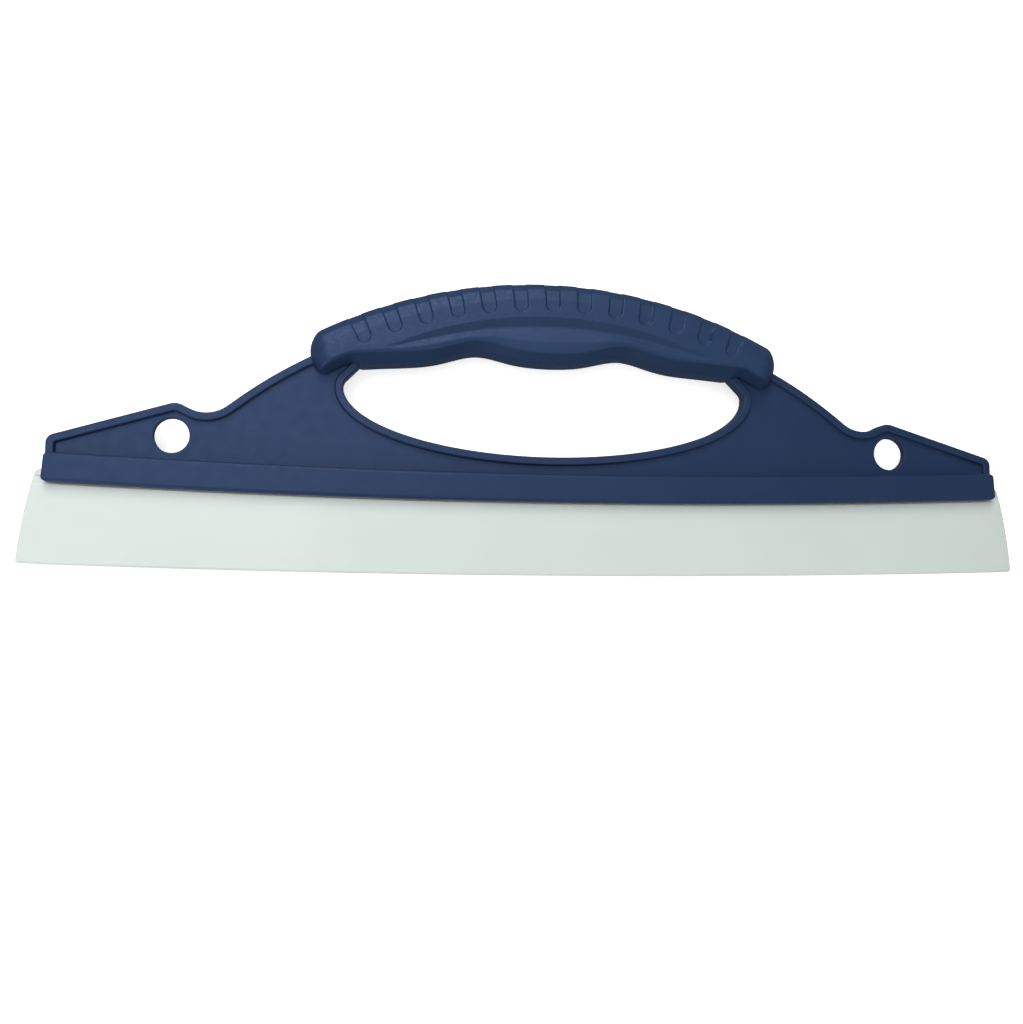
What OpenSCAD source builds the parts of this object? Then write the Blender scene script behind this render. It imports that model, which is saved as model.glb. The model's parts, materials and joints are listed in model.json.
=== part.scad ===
// Hand squeegee: one rigid moulded frame, a soft grip moulded over its handle, and a silicone blade held in
// an open-ended slot.
// The tool lies on its back: X along the blade, Y from the blade to the handle, Z up through the thickness.

/* [Blade] */
// Length of the wiping edge, end to end
blade_len = 306.8; // [302:0.1:310]
// How far the wiping edge stands below the bar at mid length
blade_drop = 22.2; // [18:0.1:28]
// Thickness of the blade where it leaves the bar
blade_root_t = 3; // [2.6:0.1:3.4]
// Thickness of the blade at its wiping edge
blade_tip_t = 1.6; // [1.2:0.1:2]
// Radius of the long curve of the wiping edge
blade_edge_r = 5000; // [4000:100:9000]

/* [Bar] */
// Length of the bar along its lower edge
bar_len = 293.2; // [290:0.1:294]
// Height of the bar
bar_h = 8.6; // [8:0.1:9.2]
// Thickness of the bar
bar_t = 9; // [8.4:0.1:10]
// Radius of the long curve of the bar
bar_r = 3200; // [2800:100:5000]

/* [Web] */
// Thickness of the flat web
web_t = 2.4; // [2:0.1:3]
// Thickness of the raised rims
rim_t = 5; // [4:0.1:6]
// Width of the raised rims
rim_w = 2.3; // [1.5:0.1:2.6]

/* [Hang holes] */
// Distance of each hang hole from mid length
hole_x = 111.5; // [109.5:0.1:113]
// Height of the hang holes above the bar's lower edge
hole_y = 17.7; // [17:0.1:18.1]
// Diameter of the hang holes
hole_d = 10.2; // [8:0.1:10.6]

/* [Hand opening] */
// Width of the hand opening
open_w = 124.8; // [120:0.2:126]
// Height at which the hand opening is widest
open_y = 33.6; // [33:0.1:34.4]
// Depth of the opening below its widest line
open_depth = 19.7; // [18:0.1:20.6]

/* [Grip] */
// Overall thickness of the grip
grip_t = 17; // [15:0.5:20]
// Length of the grip
grip_len = 144.5; // [143.6:0.1:145.6]
// Radius of the grip's top
grip_r = 149.2; // [148:0.1:150.5]
// Height of the grip's top above the bar's lower edge
grip_top = 66.9; // [65.8:0.1:67.8]
// Number of shallow notches along each face
notch_count = 13; // [5:2:13]
// Depth of a notch
notch_depth = 0.6; // [0.3:0.1:1]

/* [Hidden] */
$fn = 64;
// steps along a long curve, around a rounded corner and across the opening's oval
long_steps = 24;
corner_steps = 8;
oval_step = 5;
// facets per full turn of the bar's and the grip's long curves, and of their rounded edges
bar_fn = 1440;
grip_fn = 720;
bar_edge_fn = 24;
grip_edge_fn = 48;
// how far cutting shapes run past what they cut
past = 20;

// blade and slot: the bead is the thick top edge that holds the blade in
fit_gap = 0.25;
bead_t = 4;
bead_h = 1.7;
neck_t = 2;
neck_h = 1.7;
end_slope = 0.18;
flex_y = -3.6;
lip_r = 1.45;
bar_edge_r = 1.2;
bar_end_slope = 0.07;
// half of a length that runs past both ends of the blade
run = blade_len / 2 + 2;

// web outline: the corners of its right half, each with its rounding radius
web_end_x = bar_len / 2 - 1;
web_foot = [web_end_x, 5.4, 0];
shoulder = [web_end_x, 16.6, 2.8];
hump = [110.2, 27.5, 4.5];
dip = [100.8, 22.9, 10];
brow = [83.4, 36.4, 137];

// handle core inside the grip, as thick as the rims
core_r = 144;
core_low_y = 48.4;
core_low_r = 300;
core_end_x = 54;
core_top_end_x = 71.5;
pocket_top_y = 42.9;
open_side = [open_w / 2, open_y + 1.4, 3];
window_count = 5;
window_pitch = 9;
window_len = 13;
window_w = 4.6;
window_r = 137.8;

// grip: its swept band, and the wavy underside with two ridges that part the fingers
grip_cy = grip_top - grip_r;
grip_low_r = 133;
grip_edge_r = 5;
grip_sweep = 64;
grip_top_end_x = 66;
finger_t = 12;
finger_y = 41.3;
finger_fall = 1.9;
finger_reach = 55;
finger_step = 2.5;
ridge_x = 22.5;
ridge_h = 3.3;
ridge_w = 7.5;

// corners of the lobe that hangs over the web at each end of the grip, and of the grip's end
lobe_start_x = 57.2;
lobe_start_r = 2;
lobe_root = [60.9, 40.4, 1.5];
lobe_foot = [grip_len / 2 - 2.75, 36.1, 2.4];
grip_end = [grip_len / 2 + 1.45, 47.7, 6.2];

// notches, spaced by angle around the grip's centre
notch_pitch = 3.91;
notch_w = 4.2;
notch_low_r = 139.8;

mid_y = (grip_top - blade_drop) / 2;

frame_blue = [0.17, 0.24, 0.36];
grip_blue = [0.2, 0.28, 0.4];
silicone = [0.87, 0.91, 0.89, 0.9];

function unit(v) = v / norm(v);

// points of the arc that rounds corner b, between neighbours a and c; b holds [x, y, radius]
function corner(a, b, c) =
    b[2] == 0 ? [[b[0], b[1]]] :
    let (
        p = [b[0], b[1]],
        u = unit([a[0], a[1]] - p),
        v = unit([c[0], c[1]] - p),
        half = acos(u * v) / 2,
        middle = p + unit(u + v) * b[2] / sin(half),
        from = p + u * b[2] / tan(half) - middle,
        sweep = (180 - 2 * half) * (u[0] * v[1] - u[1] * v[0] > 0 ? -1 : 1),
        first = atan2(from[1], from[0])
    )
    [for (i = [0:corner_steps])
        let (a = first + sweep * i / corner_steps) middle + b[2] * [cos(a), sin(a)]];

function rounded(p) =
    let (n = len(p))
    [for (i = [0:n - 1]) each corner(p[(i + n - 1) % n], p[i], p[(i + 1) % n])];

// points along an arc that is centred on the Y axis, from x = from to x = to
function arch(r, cy, from, to) =
    [for (i = [0:long_steps])
        let (x = from + (to - from) * i / long_steps) [x, cy + sqrt(r * r - x * x), 0]];

// the grip's underside, higher over each ridge
function underside(x) =
    finger_y - finger_fall * pow(x / finger_reach, 2)
    + ridge_h * exp(-pow((abs(x) - ridge_x) / ridge_w, 2) / 2);

function reversed(p) = [for (i = [len(p) - 1:-1:0]) p[i]];

function mirrored(p) = [for (v = reversed(p)) [-v[0], v[1], v[2]]];

// lays the tool on its back, centred over the origin
module placed() translate([0, -mid_y, grip_t / 2]) children();

// height at x of a curve that lies rise above the curve of radius r through the origin
function bow(r, rise, x) = r - sqrt(pow(r - rise, 2) - x * x);

function bow_points(r, rise) =
    [for (i = [0:long_steps]) let (x = run * (2 * i / long_steps - 1)) [x, bow(r, rise, x)]];

// a strip that follows the bar's curve, from low to high above its lower edge
module strip(low, high, t) {
    linear_extrude(t, center = true)
        polygon(concat(bow_points(bar_r, low), reversed(bow_points(bar_r, high))));
}

// keeps the stretch between two slanted ends that are len apart at height y
module between_ends(len, y, slope) {
    low = -blade_drop - past;
    high = bar_h + past;
    intersection() {
        children();
        linear_extrude(2 * grip_t, center = true)
            polygon([
                [-len / 2 - slope * (y - low), low],
                [len / 2 + slope * (y - low), low],
                [len / 2 - slope * (high - y), high],
                [-len / 2 + slope * (high - y), high]
            ]);
    }
}

module web_outline() {
    side = [web_foot, shoulder, hump, dip, brow];
    top = arch(core_r, grip_cy, core_top_end_x, -core_top_end_x);
    polygon(rounded(concat(side, top, mirrored(side))));
}

module opening_outline() {
    oval = [for (a = [180:oval_step:360]) [open_w / 2 * cos(a), open_y + open_depth * sin(a), 0]];
    top = arch(core_low_r, core_low_y - core_low_r, core_end_x, -core_end_x);
    polygon(rounded(concat(oval, [open_side], top, mirrored([open_side]))));
}

module anchor_windows() {
    half = (window_len - window_w) / 2;
    for (i = [0:window_count - 1])
        translate([0, grip_cy])
            rotate((i - (window_count - 1) / 2) * window_pitch)
                translate([0, window_r]) {
                    square([2 * half, window_w], center = true);
                    for (s = [-1, 1]) translate([s * half, 0]) circle(d = window_w);
                }
}

// the web's area between the rims, which stops inside the grip
module pocket_outline() {
    difference() {
        offset(delta = -rim_w) web_outline();
        offset(delta = rim_w) opening_outline();
        translate([-grip_len / 2, pocket_top_y]) square([grip_len, grip_len]);
    }
}

module bar() {
    r = bar_edge_r;
    sweep = 2 * asin(run / bar_r);
    between_ends(bar_len, 0, bar_end_slope)
        translate([0, bar_r, 0])
            rotate([0, 0, -90 - sweep / 2])
                rotate_extrude(angle = sweep, $fn = bar_fn)
                    translate([bar_r - bar_h, -bar_t / 2]) {
                        translate([0, r]) square([bar_h, bar_t - 2 * r]);
                        translate([r, 0]) square([bar_h - 2 * r, bar_t]);
                        for (x = [r, bar_h - r], y = [r, bar_t - r])
                            translate([x, y]) circle(r, $fn = bar_edge_fn);
                    }
}

module slot() {
    strip(-1, neck_h + bead_h + 2 * fit_gap, neck_t + 2 * fit_gap);
    strip(neck_h, neck_h + bead_h + 2 * fit_gap, bead_t + 2 * fit_gap);
}

module frame() {
    color(frame_blue)
        placed()
            difference() {
                union() {
                    difference() {
                        linear_extrude(rim_t, center = true) web_outline();
                        for (s = [-1, 1])
                            translate([0, 0, s * (web_t + rim_t) / 2])
                                linear_extrude(rim_t, center = true) pocket_outline();
                        linear_extrude(2 * rim_t, center = true) {
                            opening_outline();
                            anchor_windows();
                        }
                        for (s = [-1, 1])
                            translate([s * hole_x, hole_y, -rim_t]) cylinder(d = hole_d, h = 2 * rim_t);
                    }
                    bar();
                }
                slot();
            }
}

module grip_outline() {
    under = [for (x = [-finger_reach:finger_step:finger_reach]) [x, underside(x), 0]];
    lobe = [[lobe_start_x, underside(lobe_start_x), lobe_start_r], lobe_root, lobe_foot, grip_end];
    top = arch(grip_r, grip_cy, grip_top_end_x, -grip_top_end_x);
    polygon(rounded(concat(under, lobe, top, mirrored(lobe))));
}

// the band swept around the grip's long curve, and the thinner part below it that the fingers close on
module grip_body() {
    r = grip_edge_r;
    high = grip_r - grip_low_r;
    translate([0, grip_cy, 0])
        rotate([0, 0, 90 - grip_sweep / 2])
            rotate_extrude(angle = grip_sweep, $fn = grip_fn)
                translate([grip_low_r, 0]) {
                    translate([0, -grip_t / 2 + r]) square([high, grip_t - 2 * r]);
                    translate([r, -grip_t / 2]) square([high - 2 * r, grip_t]);
                    for (x = [r, high - r], s = [-1, 1])
                        translate([x, s * (grip_t / 2 - r)]) circle(r, $fn = grip_edge_fn);
                }
    linear_extrude(finger_t, center = true)
        intersection() {
            grip_outline();
            translate([0, grip_cy]) circle(r = grip_r - grip_edge_r, $fn = grip_fn);
        }
}

module notches() {
    for (i = [0:notch_count - 1], s = [-1, 1])
        translate([0, grip_cy, 0])
            rotate([0, 0, (i - (notch_count - 1) / 2) * notch_pitch])
                translate([0, notch_low_r + notch_w / 2, s * grip_t / 2])
                    linear_extrude(2 * notch_depth, center = true) {
                        circle(d = notch_w);
                        translate([-notch_w / 2, 0]) square([notch_w, grip_r - notch_low_r]);
                    }
}

module grip() {
    color(grip_blue)
        placed()
            difference() {
                intersection() {
                    grip_body();
                    linear_extrude(2 * grip_t, center = true) grip_outline();
                }
                linear_extrude(rim_t, center = true)
                    difference() {
                        web_outline();
                        opening_outline();
                        anchor_windows();
                    }
                notches();
            }
}

// cuts the blade's ends, which slant outwards down to the two ends of the wiping edge
module blade_ends() {
    between_ends(blade_len, bow(blade_edge_r, 0, blade_len / 2) - blade_drop, end_slope) children();
}

module blade_root() {
    foot = flex_y + lip_r + fit_gap;
    color(silicone)
        placed()
            blade_ends() {
                union() {
                    strip(neck_h + fit_gap, neck_h + fit_gap + bead_h, bead_t);
                    strip(-2 * fit_gap, neck_h + bead_h, neck_t);
                    linear_extrude(blade_root_t, center = true)
                        polygon(concat(
                            [[-run, foot], [run, foot]],
                            reversed(bow_points(bar_r, -fit_gap))
                        ));
                }
            }
}

module blade_lip() {
    edge = [for (p = bow_points(blade_edge_r, 0)) [p[0], p[1] - blade_drop]];
    color(silicone)
        placed()
            blade_ends() {
                union() {
                    intersection() {
                        linear_extrude(grip_t, center = true)
                            polygon(concat(edge, [[run, flex_y], [-run, flex_y]]));
                        rotate([90, 0, 90])
                            linear_extrude(2 * run, center = true)
                                polygon([
                                    [-blade_drop, -blade_tip_t / 2], [0, -blade_root_t / 2],
                                    [0, blade_root_t / 2], [-blade_drop, blade_tip_t / 2]
                                ]);
                    }
                    translate([-run, flex_y, 0]) rotate([0, 90, 0]) cylinder(r = lip_r, h = 2 * run);
                }
            }
}

frame();
grip();
blade_root();
blade_lip();
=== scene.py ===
"""Looks of the hand squeegee: moulded frame, soft grip, silicone blade, floor, lights and camera."""
import json
import math

import bmesh
import bpy
import numpy as np
from mathutils import Matrix, Vector


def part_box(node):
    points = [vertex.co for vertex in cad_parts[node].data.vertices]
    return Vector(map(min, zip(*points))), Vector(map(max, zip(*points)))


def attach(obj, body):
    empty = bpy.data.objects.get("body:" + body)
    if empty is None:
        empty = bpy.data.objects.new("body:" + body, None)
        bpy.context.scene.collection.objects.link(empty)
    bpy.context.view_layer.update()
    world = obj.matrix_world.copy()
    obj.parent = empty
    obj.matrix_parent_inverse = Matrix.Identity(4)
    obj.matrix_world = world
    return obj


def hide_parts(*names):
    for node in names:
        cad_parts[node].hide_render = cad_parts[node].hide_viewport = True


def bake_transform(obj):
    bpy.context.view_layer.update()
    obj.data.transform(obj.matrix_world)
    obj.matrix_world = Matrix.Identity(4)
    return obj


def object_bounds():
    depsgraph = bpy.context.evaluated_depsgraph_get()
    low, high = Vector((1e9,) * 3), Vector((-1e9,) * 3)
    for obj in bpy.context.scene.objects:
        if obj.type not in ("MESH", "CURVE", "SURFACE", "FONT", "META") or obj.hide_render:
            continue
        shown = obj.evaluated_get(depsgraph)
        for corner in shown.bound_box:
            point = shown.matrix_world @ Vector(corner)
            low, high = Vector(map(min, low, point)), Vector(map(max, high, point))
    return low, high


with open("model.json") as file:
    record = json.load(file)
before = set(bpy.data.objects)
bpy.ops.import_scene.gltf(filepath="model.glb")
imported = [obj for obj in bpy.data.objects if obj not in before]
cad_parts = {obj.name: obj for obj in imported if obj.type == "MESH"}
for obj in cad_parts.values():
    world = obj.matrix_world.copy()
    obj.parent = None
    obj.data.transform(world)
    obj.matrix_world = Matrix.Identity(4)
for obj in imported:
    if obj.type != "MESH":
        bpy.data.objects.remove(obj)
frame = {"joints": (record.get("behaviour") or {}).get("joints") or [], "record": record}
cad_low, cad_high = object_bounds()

# ---------------------------------------------------------------- sizes, in mm from the bar's mouth line
MM = 0.001
MOUNTS = {m["name"]: m for m in frame["record"]["mounts"]}
JOINTS = {j["name"]: j for j in frame["joints"]}
BAR_R = 3200.0
MID_Z = (cad_low.z + cad_high.z) / 2
MOUTH_Y = JOINTS["blade_slide"]["pos_m"][1] - BAR_R * MM
GRIP_TOP = (cad_high.y - MOUTH_Y) / MM
GRIP_R = 149.2
GRIP_CY = GRIP_TOP - GRIP_R
BLADE_DROP = (MOUTH_Y - cad_low.y) / MM
BLADE_HALF = (cad_high.x - cad_low.x) / 2 / MM
HOLE_X = MOUNTS["hang_hole_right"]["pos_m"][0] / MM
HOLE_Y = (MOUNTS["hang_hole_right"]["pos_m"][1] - MOUTH_Y) / MM
HOLE_R = MOUNTS["hang_hole_right"]["dims"]["r_mm"]
BAR_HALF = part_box("frame")[1].x / MM
BAR_T = (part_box("frame")[1].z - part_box("frame")[0].z) / MM
GRIP_HALF_T = (cad_high.z - cad_low.z) / 2 / MM


# ---------------------------------------------------------------- helpers
def to_row(points):
    """Points in mm from the mouth line and the middle plane, as metres in the row frame."""
    return np.asarray(points, float) * MM + np.array([0.0, MOUTH_Y, MID_Z])


def unit(v):
    return v / np.linalg.norm(v)


def smooth(t):
    t = np.clip(t, 0, 1)
    return t * t * (3 - 2 * t)


def soft_min(a, b, width):
    h = np.clip(0.5 + 0.5 * (b - a) / width, 0, 1)
    return b + (a - b) * h - width * h * (1 - h)


def soft_max(a, b, width):
    return -soft_min(-a, -b, width)


def corner(a, b, c, steps=10):
    """The arc that rounds corner b = (x, y, radius) between its neighbours."""
    p = np.array(b[:2], float)
    if b[2] == 0:
        return [p]
    u, v = unit(np.array(a[:2]) - p), unit(np.array(c[:2]) - p)
    half = math.acos(float(np.clip(u @ v, -1, 1))) / 2
    middle = p + unit(u + v) * b[2] / math.sin(half)
    start = p + u * b[2] / math.tan(half) - middle
    sweep = (math.pi - 2 * half) * (-1 if u[0] * v[1] - u[1] * v[0] > 0 else 1)
    first = math.atan2(start[1], start[0])
    angles = first + sweep * np.linspace(0, 1, steps + 1)
    return [middle + b[2] * np.array([math.cos(t), math.sin(t)]) for t in angles]


def rounded(points, steps=10):
    n = len(points)
    out = []
    for i in range(n):
        out += corner(points[i - 1], points[i], points[(i + 1) % n], steps)
    return np.array(out)


def fine(contour, longest):
    """The closed contour with its long edges divided."""
    out = []
    for a, b in zip(contour, np.roll(contour, -1, axis=0)):
        n = max(1, math.ceil(np.linalg.norm(b - a) / longest))
        out += [a + (b - a) * k / n for k in range(n)]
    return np.array(out)


def arch(r, cy, start, end, steps=40):
    """Points along an arc centred on the Y axis, as (x, y, 0) from x = start to x = end."""
    return [(x, cy + math.sqrt(r * r - x * x), 0) for x in np.linspace(start, end, steps + 1)]


def mirrored(points):
    return [(-x, y, r) for x, y, r in reversed(points)]


def bow(r, rise, x):
    """Height of a long curve of radius r that dips to rise at mid length."""
    return r - np.sqrt((r - rise) ** 2 - np.asarray(x, float) ** 2)


def normals(contour):
    """Normals to the left of a closed contour, longer at corners so that an offset keeps its width."""
    before = contour - np.roll(contour, 1, axis=0)
    after = np.roll(contour, -1, axis=0) - contour
    left = [np.stack([-e[:, 1], e[:, 0]], 1) / np.linalg.norm(e, axis=1)[:, None] for e in (before, after)]
    return (left[0] + left[1]) / (1 + (left[0] * left[1]).sum(1))[:, None]


def arc_profile(points, steps=5):
    """An open profile whose corners (a, b, radius) are rounded."""
    out = [np.array(points[0][:2], float)]
    for i in range(1, len(points) - 1):
        out += corner(points[i - 1], points[i], points[i + 1], steps)
    return np.array(out + [np.array(points[-1][:2], float)])


class Shell:
    """Collects vertices and faces in mm and makes one closed mesh object."""

    def __init__(self):
        self.verts, self.faces = [], []

    def ring(self, points):
        first = len(self.verts)
        self.verts += [tuple(p) for p in points]
        return list(range(first, first + len(points)))

    def bridge(self, rings):
        """Joins each ring to the next one."""
        for a, b in zip(rings, rings[1:]):
            for i in range(len(a)):
                k = (i + 1) % len(a)
                self.faces.append((a[i], a[k], b[k], b[i]))

    def build(self, name, loops):
        """loops: groups of rings, each group filled as one flat area with holes."""
        mesh = bpy.data.meshes.new(name)
        mesh.from_pydata([tuple(v) for v in to_row(self.verts)], [], self.faces)
        bm = bmesh.new()
        bm.from_mesh(mesh)
        bm.verts.ensure_lookup_table()
        for group in loops:
            edges = []
            for ring in group:
                for i, k in zip(ring, ring[1:] + ring[:1]):
                    pair = (bm.verts[i], bm.verts[k])
                    edges.append(bm.edges.get(pair) or bm.edges.new(pair))
            bmesh.ops.triangle_fill(bm, use_beauty=True, use_dissolve=False, edges=edges)
        bmesh.ops.recalc_face_normals(bm, faces=bm.faces)
        bm.to_mesh(mesh)
        bm.free()
        obj = bpy.data.objects.new(name, mesh)
        bpy.context.scene.collection.objects.link(obj)
        return obj


def from_end_to_end(station, bevel, bevel_steps, count):
    """Calls station(u, inset, back) along u from -1 to 1, with a rounded edge at both ends."""
    turns = np.radians(np.linspace(0, 90, bevel_steps))
    for a in turns:
        station(-1, bevel * (1 - math.sin(a)), bevel * (1 - math.cos(a)))
    for u in np.linspace(-1, 1, count)[1:-1]:
        station(u, 0, 0)
    for a in turns[::-1]:
        station(1, bevel * (1 - math.sin(a)), bevel * (1 - math.cos(a)))


def apply_modifiers(obj):
    dg = bpy.context.evaluated_depsgraph_get()
    obj.data = bpy.data.meshes.new_from_object(obj.evaluated_get(dg), depsgraph=dg)
    obj.modifiers.clear()


def shade(obj, sharp_deg=32):
    """Smooth shading that keeps creases, with flat areas kept flat."""
    bm = bmesh.new()
    bm.from_mesh(obj.data)
    for face in bm.faces:
        face.smooth = True
    for edge in bm.edges:
        edge.smooth = edge.calc_face_angle(0) < math.radians(sharp_deg)
    bm.to_mesh(obj.data)
    bm.free()
    weighted = obj.modifiers.new("weighted", "WEIGHTED_NORMAL")
    weighted.keep_sharp = True
    weighted.weight = 90
    apply_modifiers(obj)


# ---------------------------------------------------------------- materials
def material(name, base, roughness):
    """A material with plain values, which textures may then take over."""
    mat = bpy.data.materials.new(name)
    mat.use_nodes = True
    shader = mat.node_tree.nodes["Principled BSDF"]
    shader.inputs["Base Color"].default_value = (*base, 1)
    shader.inputs["Roughness"].default_value = roughness
    return mat, mat.node_tree, shader


def noise(tree, scale, detail):
    where = tree.nodes.get("Where") or tree.nodes.new("ShaderNodeTexCoord")
    where.name = "Where"
    node = tree.nodes.new("ShaderNodeTexNoise")
    node.inputs["Scale"].default_value = scale
    node.inputs["Detail"].default_value = detail
    tree.links.new(where.outputs["Object"], node.inputs["Vector"])
    return node.outputs["Fac"]


def spread(tree, value, low, high):
    """Stretches the middle of a noise over the range from low to high."""
    node = tree.nodes.new("ShaderNodeMapRange")
    for key, number in (("From Min", 0.3), ("From Max", 0.7), ("To Min", low), ("To Max", high)):
        node.inputs[key].default_value = number
    tree.links.new(value, node.inputs["Value"])
    return node.outputs["Result"]


def tint(tree, value, dark, light):
    node = tree.nodes.new("ShaderNodeMix")
    node.data_type = "RGBA"
    node.inputs["A"].default_value = (*dark, 1)
    node.inputs["B"].default_value = (*light, 1)
    tree.links.new(value, node.inputs["Factor"])
    return node.outputs["Result"]


def bump(tree, shader, layers):
    """layers: (height output, depth in metres) from the coarsest to the finest."""
    last = None
    for height, depth in layers:
        node = tree.nodes.new("ShaderNodeBump")
        node.inputs["Strength"].default_value = 1.0
        node.inputs["Distance"].default_value = depth
        tree.links.new(height, node.inputs["Height"])
        if last:
            tree.links.new(last, node.inputs["Normal"])
        last = node.outputs["Normal"]
    tree.links.new(last, shader.inputs["Normal"])


def frame_plastic():
    mat, tree, shader = material("moulded_navy_plastic", (0.03, 0.055, 0.115), 0.45)
    tree.links.new(
        tint(tree, spread(tree, noise(tree, 45, 4), 0, 1), (0.0125, 0.0262, 0.066), (0.0147, 0.0298, 0.0725)),
        shader.inputs["Base Color"],
    )
    shader.inputs["Specular IOR Level"].default_value = 0.35
    shader.inputs["Specular Tint"].default_value = (0.43, 0.56, 1.0, 1)
    tree.links.new(spread(tree, noise(tree, 320, 3), 0.4, 0.52), shader.inputs["Roughness"])
    bump(tree, shader, [(noise(tree, 160, 2), 0.000006), (noise(tree, 2600, 2), 0.000015)])
    return mat


def grip_rubber():
    mat, tree, shader = material("soft_touch_rubber", (0.03, 0.057, 0.12), 0.5)
    tree.links.new(
        tint(tree, spread(tree, noise(tree, 60, 4), 0, 1), (0.0105, 0.0295, 0.074), (0.013, 0.034, 0.083)),
        shader.inputs["Base Color"],
    )
    tree.links.new(spread(tree, noise(tree, 900, 3), 0.42, 0.6), shader.inputs["Roughness"])
    bump(tree, shader, [(noise(tree, 250, 2), 0.00004), (noise(tree, 1500, 3), 0.00004)])
    shader.inputs["Specular IOR Level"].default_value = 0.46
    shader.inputs["Specular Tint"].default_value = (0.49, 0.57, 1.0, 1)
    return mat


def blade_silicone():
    mat, tree, shader = material("milky_silicone", (0.74, 0.81, 0.78), 0.38)
    tree.links.new(
        tint(tree, spread(tree, noise(tree, 25, 3), 0, 1), (0.572, 0.635, 0.605), (0.598, 0.657, 0.627)),
        shader.inputs["Base Color"],
    )
    shader.inputs["Subsurface Weight"].default_value = 0.6
    shader.inputs["Subsurface Radius"].default_value = (1.0, 1.05, 1.0)
    shader.inputs["Subsurface Scale"].default_value = 0.003
    tree.links.new(spread(tree, noise(tree, 400, 3), 0.33, 0.45), shader.inputs["Roughness"])
    bump(tree, shader, [(noise(tree, 60, 2), 0.00006), (noise(tree, 1800, 2), 0.000006)])
    return mat


def give(obj, mat):
    obj.data.materials.clear()
    obj.data.materials.append(mat)


# ---------------------------------------------------------------- frame
RIM_T = 5.0
RIM_W = 2.25
WEB_T = 2.4
WEB_FOOT_Y = 5.4
WEB_END_X = 145.9
# corners of the web's outer edge: x, y and rounding radius
FOOT_R = 2.8
SHOULDER = (WEB_END_X, 16.6, FOOT_R)
HUMP = (110.2, 27.5, 4.5)
DIP = (100.8, 22.9, 10)
BROW = (83.4, 36.4, 137)
# the hand opening, and the handle core inside the grip with its row of windows
OPEN_HALF_W = 62.4
OPEN_Y = 33.6
OPEN_DEPTH = 19.7
OPEN_SIDE_Y = 35.0
CORE_R = 144.0
CORE_TOP_END_X = 71.4
CORE_END_X = 54.0
CORE_LOW_Y = 48.4
CORE_LOW_R = 300.0
WINDOW_ANGLES = np.radians(np.arange(-18, 19, 9))
# the bar and its T-shaped slot: half widths across the thickness, and heights
BAR_H = 8.6
END_SLOPE = 0.07
SLOT_NECK = 1.25
SLOT_BEAD = 2.25
SLOT_LOW = 1.7
SLOT_TOP = 3.9


def web_contour():
    """Outer edge of the web, anticlockwise, its foot buried in the bar."""
    foot_half = 140
    foot = [(x, float(bow(BAR_R, WEB_FOOT_Y, x)), 0) for x in np.linspace(-foot_half, foot_half, 41)]
    foot_corner = (WEB_END_X, float(bow(BAR_R, WEB_FOOT_Y, WEB_END_X)), FOOT_R)
    side = [foot_corner, SHOULDER, HUMP, DIP, BROW]
    top = arch(CORE_R, GRIP_CY, CORE_TOP_END_X, -CORE_TOP_END_X)
    return fine(rounded(foot + side + top + mirrored(side)), 1.5)


def opening_contour():
    """Edge of the hand opening, clockwise, closed by the handle core inside the grip."""
    low = [
        (OPEN_HALF_W * math.cos(a), OPEN_Y + OPEN_DEPTH * math.sin(a), 0)
        for a in np.radians(np.arange(180, 361, 2.5))
    ]
    side = [(OPEN_HALF_W, OPEN_SIDE_Y, 3)]
    top = arch(CORE_LOW_R, CORE_LOW_Y - CORE_LOW_R, CORE_END_X, -CORE_END_X)
    return fine(rounded(low + side + top + mirrored(side)), 1.5)[::-1]


def rim_profile():
    """(distance in from the edge, z), from the web's back face round the rim to its front face."""
    draft = 0.35
    front = [
        (0, 0, 0),
        (0, RIM_T / 2, 0.5),
        (RIM_W, RIM_T / 2, 0.4),
        (RIM_W + draft, WEB_T / 2, 0.15),
        (RIM_W + 0.5, WEB_T / 2, 0),
    ]
    half = arc_profile(front)[1:]
    return np.concatenate([half[::-1] * [1, -1], half])


def circle_contour(x, y, r, steps=72):
    a = np.linspace(0, 2 * math.pi, steps, endpoint=False)
    return np.stack([x - r * np.cos(a), y + r * np.sin(a)], 1)


def window_contour(angle, length=13.0, width=4.6, radius=137.8):
    """One rounded window through the handle core."""
    half, r = length / 2, width / 2 - 0.01
    box = [(half, width / 2, r), (-half, width / 2, r), (-half, -width / 2, r), (half, -width / 2, r)]
    flat = rounded(box, 8)[::-1] + [0, radius]
    c, s = math.cos(angle), math.sin(angle)
    return flat @ np.array([[c, -s], [s, c]]) + [0, GRIP_CY]


def make_web():
    shell = Shell()
    backs, fronts = [], []

    def sweep(contour, profile):
        n = normals(contour)
        rings = [shell.ring(np.c_[contour + n * d, np.full(len(contour), z)]) for d, z in profile]
        shell.bridge(rings)
        backs.append(rings[0])
        fronts.append(rings[-1])

    sweep(web_contour(), rim_profile())
    sweep(opening_contour(), rim_profile())
    edge = arc_profile([(0, 0, 0), (0, WEB_T / 2, 0.25), (0.6, WEB_T / 2, 0)])[1:]
    hole_profile = np.concatenate([edge[::-1] * [1, -1], edge])
    for side in (-1, 1):
        sweep(circle_contour(side * HOLE_X, HOLE_Y, HOLE_R), hole_profile)
    for angle in WINDOW_ANGLES:
        sweep(window_contour(angle), hole_profile * [0.5, 1])
    return shell.build("web", [backs, fronts])


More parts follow.
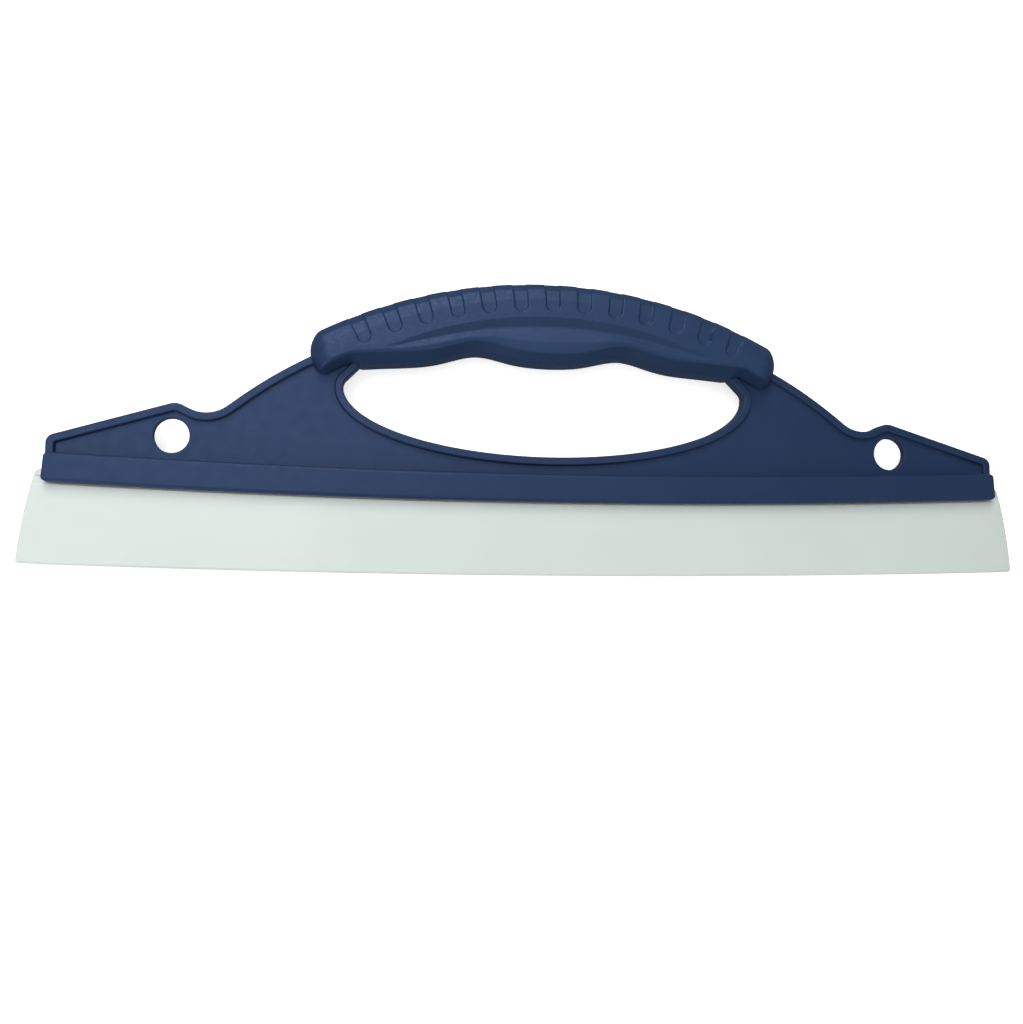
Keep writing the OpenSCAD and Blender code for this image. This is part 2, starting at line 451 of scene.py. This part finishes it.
def bar_section():
    """Closed (height, z) outline of the bar with its T-shaped slot."""
    t = BAR_T / 2
    outer = [(0, t, 1.1), (BAR_H, t, 1.1), (BAR_H, -t, 1.1), (0, -t, 1.1)]
    neck = [(0, SLOT_NECK, 0.3), (SLOT_LOW, SLOT_NECK, 0.15)]
    slot = neck + [(SLOT_LOW, SLOT_BEAD, 0.15), (SLOT_TOP, SLOT_BEAD, 0.3)]
    far_side = [(h, -z, r) for h, z, r in slot]
    points = slot[:1] + outer + far_side + slot[:0:-1]
    return fine(rounded(points, 6), 1.2)


def bar_reach(height):
    """Half length of the bar at a height: slanted ends with rounded corners."""
    low_r, high_r = 1.3, 1.4
    low = np.clip((low_r - height) / low_r, 0, 1)
    high = np.clip((height - (BAR_H - high_r)) / high_r, 0, 1)
    cut = low_r * (1 - np.sqrt(1 - low**2)) + high_r * (1 - np.sqrt(1 - high**2))
    return BAR_HALF - 0.05 - END_SLOPE * height - cut


def make_bar():
    shell = Shell()
    section = bar_section()
    inward = -normals(section)
    height, out = section[:, 0], abs(section[:, 1])
    # only the bar's outer edges are rounded off at its ends, not the slot's
    in_slot = (height > 0.05) & (height < SLOT_TOP + 0.05) & (out < SLOT_BEAD + 0.05)
    lip = 1.6
    outside = np.where(in_slot | (out < lip), height > SLOT_TOP + 0.1, smooth((out - lip) / 0.8))
    inward *= outside[:, None]
    reach = bar_reach(height)
    rings = []

    def station(u, inset, back):
        flat = section + inward * inset
        x = u * reach - np.sign(u) * back
        y = bow(BAR_R, flat[:, 0], x)
        rings.append(shell.ring(np.stack([x, y, flat[:, 1]], 1)))

    from_end_to_end(station, bevel=0.45, bevel_steps=5, count=61)
    shell.bridge(rings)
    return shell.build("bar", [[rings[0]], [rings[-1]]])


def make_frame(mat):
    web, bar = make_web(), make_bar()
    union = web.modifiers.new("union", "BOOLEAN")
    union.operation, union.solver, union.object = "UNION", "MANIFOLD", bar
    apply_modifiers(web)
    bpy.data.objects.remove(bar)
    web.name = web.data.name = "moulded_frame"
    shade(web)
    give(web, mat)
    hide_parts("frame")
    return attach(web, "handle")


# ---------------------------------------------------------------- grip, in radii and angles round its centre
END_DEG = 30.3
MID_R = 145
LOBE_R = 136.8
LOBE_START_DEG = 24.9
BELLY_R = 138.7
GROOVE_DEG = 21.5
NOTCHES = 13
NOTCH_PITCH = 3.91
NOTCH_W = 4.2
NOTCH_LOW_R = 139.8
NOTCH_DEPTH = 0.72


def underside_y(x):
    """Height of the wavy underside, whose two ridges part the fingers."""
    return 41.3 - 1.9 * (x / 55) ** 2 + 3.3 * math.exp(-(((abs(x) - 22.5) / 7.5) ** 2) / 2)


def radius_at(theta, rise):
    """Distance from the grip's centre of curvature of the line that runs rise above the underside."""
    r = 130.0
    for _ in range(12):
        r = (underside_y(r * math.sin(theta)) + rise - GRIP_CY) / math.cos(theta)
    return r


def rounding(distance, radius):
    """How far a rounded edge has dropped at a distance from its outer side."""
    return radius - math.sqrt(radius**2 - max(0.0, radius - distance) ** 2)


def section_line(keys, counts):
    """Points along rounded keys (radius, z, corner radius), with a fixed count between corners."""
    out = []
    for i, n in enumerate(counts):
        a, b = keys[i], keys[i + 1]
        start = corner(keys[i - 1], a, b, 5)[-1] if i else np.array(a[:2], float)
        end = corner(a, b, keys[i + 2], 5) if i + 2 < len(keys) else [np.array(b[:2], float)]
        out += [start + (end[0] - start) * k / n for k in range(n)]
        out += end[:-1] if len(end) > 1 else end
    return np.array(out)


def grip_section(theta):
    """Front half of the section at an angle, as (radius, z): the plain surface and the notch floor."""
    degrees = abs(math.degrees(theta))
    t = GRIP_HALF_T - 0.05
    low = radius_at(theta, 0)
    low += (LOBE_R - low) * smooth((degrees - LOBE_START_DEG) / 1.6)
    away = smooth((degrees - 20.5) / 6.5)
    belly = float(soft_min(radius_at(theta, 3.6), BELLY_R, 1.0))
    groove = max(0.0, 1 - (degrees / GROOVE_DEG) ** 3)
    ridge = float(soft_max(138 - 1.35 * min(degrees / 20, 1) ** 2.3, belly + 2.1, 0.8))
    bottom = ridge - 0.35 - 2.2 * groove
    crest = belly + max(0.4 * (bottom - belly), 0.8)
    crown = [(GRIP_R, 0, 0), (GRIP_R - 0.15, 4.9, 1.8), (146.9, t - 1.1, 2.0), (143.4, t - 0.06, 3.0)]
    floor = [(GRIP_R - 0.1, 0, 0), (GRIP_R - 0.28, 4.8, 1.6), (146.4, t - 0.8, 0.35), (143.4, t - 0.05, 2.0)]
    face = [
        (ridge, t, 0.3),
        (bottom, t - 0.02 - 1.65 * groove, 0.2 + 1.0 * groove),
        (crest, t - 0.06 - 0.6 * groove, 0.5 + 1.5 * groove),
        (belly, t - 0.4 - 0.8 * groove, 1.0 + 0.6 * away),
        (low + 0.9 - 0.3 * away, 3.9 - 0.5 * away, 1.4),
        (low, 0, 0),
    ]
    counts = (5, 8, 8, 30, 6, 10, 8, 8, 6)
    s = (math.radians(END_DEG) - abs(theta)) * MID_R
    lines = []
    for top in (crown, floor):
        line = section_line(top + face, counts)
        if top is floor:
            line[:, 1] -= NOTCH_DEPTH * np.clip((line[:, 1] - 4.6) / 2.4, 0, 1)
        high_side = np.clip((line[:, 0] - 139) / (GRIP_R - 139), 0, 1)
        low_side = np.clip((139 - line[:, 0]) / max(139 - low, 1), 0, 1)
        line[:, 0] += rounding(s, 2.4) * low_side - rounding(s, 6.2) * high_side
        line[:, 1] *= 1 - rounding(s, 6.5) * 1.15 / GRIP_HALF_T
        lines.append(line)
    return lines


def in_notch(theta, line):
    """How far each point of a section lies inside a notch, from 0 to 1 across its walls."""
    index = np.clip(np.round(math.degrees(theta) / NOTCH_PITCH), -(NOTCHES // 2), NOTCHES // 2)
    along = (math.degrees(theta) - index * NOTCH_PITCH) * math.pi / 180 * 143
    below = np.minimum(line[:, 0] - (NOTCH_LOW_R + NOTCH_W / 2), 0)
    outside = np.hypot(along, below) - NOTCH_W / 2
    wall = 0.44
    return smooth((wall / 2 - outside) / wall)


def grip_angles():
    """Stations along the grip: close together at the ends and even between."""
    end = math.radians(END_DEG)
    close = [0, 0.05, 0.17, 0.36, 0.6, 0.9, 1.25, 1.65, 2.1, 2.6, 3.1, 3.6, 4.1, 4.6, 5.1, 5.6, 6.2]
    near = np.array(close) / MID_R
    inner = np.linspace(-(end - 6.5 / MID_R), end - 6.5 / MID_R, 560)
    return np.concatenate([-end + near, inner, (end - near)[::-1]])


def make_grip(mat):
    shell = Shell()
    rings = []
    for theta in grip_angles():
        plain, floor = grip_section(theta)
        flat = plain + (floor - plain) * in_notch(theta, plain)[:, None]
        both = np.concatenate([flat, flat[-2:0:-1] * [1, -1]])
        # towards the grip's ends, its top and its lobes lean inward
        above = both[:, 0] - 141
        near_end = smooth((abs(math.degrees(theta)) - 26.5) / 3)
        lean = 1 + np.where(above > 0, -0.0023, 0.0015) * above * near_end
        x = both[:, 0] * np.sin(theta * lean)
        y = GRIP_CY + both[:, 0] * np.cos(theta * lean)
        rings.append(shell.ring(np.stack([x, y, both[:, 1]], 1)))
    shell.bridge(rings)
    grip = shell.build("soft_grip", [[rings[0]], [rings[-1]]])
    shade(grip, 50)
    give(grip, mat)
    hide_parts("grip")
    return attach(grip, "handle")


# ---------------------------------------------------------------- blade
EDGE_R = 5000.0
BLADE_SLOPE = 0.189
BEAD_LOW = 1.95
BLADE_TOP = 3.65


def blade_section():
    """Closed (height, z) outline: the wiping edge, the faces, the neck in the slot and the bead."""
    root, tip, neck, bead = 1.5, 0.8, 1.0, 2.0
    foot = -0.25
    tip_edge = [(-BLADE_DROP, tip - 0.25, 0.3), (-BLADE_DROP + 0.55, tip, 0.3)]
    face = [(-2.2, root - 0.1, 3), (foot, root, 0.3)]
    in_slot = [(foot, neck, 0.15), (BEAD_LOW, neck, 0.15), (BEAD_LOW, bead, 0.3), (BLADE_TOP, bead, 0.6)]
    points = tip_edge + face + in_slot
    both = points + [(h, -z, r) for h, z, r in reversed(points)]
    return fine(rounded(both, 4), 1.0)


def blade_reach(height):
    """Half length of the blade at a height: slanted ends with rounded corners."""
    high_r, low_r = 1.2, 0.9
    up = height + BLADE_DROP
    high = np.clip((height - (BLADE_TOP - high_r)) / high_r, 0, 1)
    low = np.clip((low_r - up) / low_r, 0, 1)
    cut = high_r * (1 - np.sqrt(1 - high**2)) + low_r * (1 - np.sqrt(1 - low**2))
    flare = 0.6 * (1 - (2 * up / (BLADE_DROP + BLADE_TOP) - 1) ** 2)
    return BLADE_HALF - 0.02 - BLADE_SLOPE * up + flare - cut


def make_blade(mat):
    shell = Shell()
    section = blade_section()
    inward = -normals(section)
    height = section[:, 0]
    reach = blade_reach(height)
    below = np.clip(-height / BLADE_DROP, 0, 1)
    rings = []

    def station(u, inset, back):
        flat = section + inward * inset
        x = u * reach - np.sign(u) * back
        y = (1 - below) * bow(BAR_R, 0, x) + below * bow(EDGE_R, 0, x) + flat[:, 0]
        # past the bar's ends the neck and the bead swell and shrink to one thickness
        bare = smooth((abs(x) - BAR_HALF - 0.2) / 0.5) * (flat[:, 0] > -0.3)
        z = flat[:, 1] + (1.45 * np.tanh(1.4 * flat[:, 1]) - flat[:, 1]) * bare
        rings.append(shell.ring(np.stack([x, y, z], 1)))

    from_end_to_end(station, bevel=0.25, bevel_steps=4, count=121)
    shell.bridge(rings)
    blade = shell.build("silicone_blade", [[rings[0]], [rings[-1]]])
    shade(blade, 40)
    give(blade, mat)
    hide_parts("blade_root", "blade_lip")
    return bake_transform(blade)


# ---------------------------------------------------------------- floor, lights, camera
def make_floor():
    shell = bmesh.new()
    bmesh.ops.create_grid(shell, x_segments=12, y_segments=12, size=3.0)
    mesh = bpy.data.meshes.new("floor")
    shell.to_mesh(mesh)
    shell.free()
    floor = bpy.data.objects.new("floor", mesh)
    floor.location.z = cad_low.z - 0.0002
    bpy.context.scene.collection.objects.link(floor)
    mat, _, shader = material("pale_floor", (0.85, 0.85, 0.85), 0.9)
    shader.inputs["Specular IOR Level"].default_value = 0.1
    shader.inputs["Emission Color"].default_value = (1, 1, 1, 1)
    shader.inputs["Emission Strength"].default_value = 0.68
    give(floor, mat)
    floor.visible_diffuse = False
    floor.visible_glossy = False


def area_light(name, towards, azimuth, elevation, distance, size, watts):
    """A round soft light aimed at a point, from the blade's side at azimuth 0 and the right at 90."""
    a, e = math.radians(azimuth), math.radians(elevation)
    back = Vector((math.sin(a) * math.cos(e), -math.cos(a) * math.cos(e), math.sin(e)))
    data = bpy.data.lights.new(name, "AREA")
    data.shape, data.size, data.energy = "DISK", size, watts
    light = bpy.data.objects.new(name, data)
    light.location = towards + back * distance
    light.rotation_mode = "QUATERNION"
    light.rotation_quaternion = (-back).to_track_quat("-Z", "Y")
    bpy.context.scene.collection.objects.link(light)


def make_lights():
    centre = (cad_low + cad_high) / 2
    area_light("overhead", centre, 234, 66, 0.68, 0.66, 3.2)
    area_light("back_light", centre, 188, 40, 1.0, 0.5, 4.6)
    area_light("fill_front", centre, 30, 40, 1.2, 0.9, 2.4)
    area_light("fill_low", centre, 325, 14, 0.8, 0.4, 1.8)
    world = bpy.data.worlds.new("studio")
    world.use_nodes = True
    world.node_tree.nodes["Background"].inputs["Color"].default_value = (1, 1, 1, 1)
    world.node_tree.nodes["Background"].inputs["Strength"].default_value = 0.25
    bpy.context.scene.world = world


def make_camera():
    """About 30 cm above the lying tool, a little to its left and towards the blade."""
    right = Vector((0.99003, 0.007194, 0.140693))
    forward = Vector((0.139904, 0.066806, -0.987913)).normalized()
    up = -forward.cross(right).normalized()
    right = forward.cross(up).normalized()
    data = bpy.data.cameras.new("camera")
    data.sensor_width = 36
    data.lens = 35.09
    camera = bpy.data.objects.new("camera", data)
    turn = Matrix((right, up, -forward)).transposed().to_4x4()
    place = Vector(to_row([-53.73, -23.27, 300.71]))
    camera.matrix_world = Matrix.Translation(place) @ turn
    bpy.context.scene.collection.objects.link(camera)
    bpy.context.scene.camera = camera


make_camera()
make_frame(frame_plastic())
make_grip(grip_rubber())
make_blade(blade_silicone())
make_floor()
make_lights()
bpy.context.scene.view_settings.view_transform = "Standard"
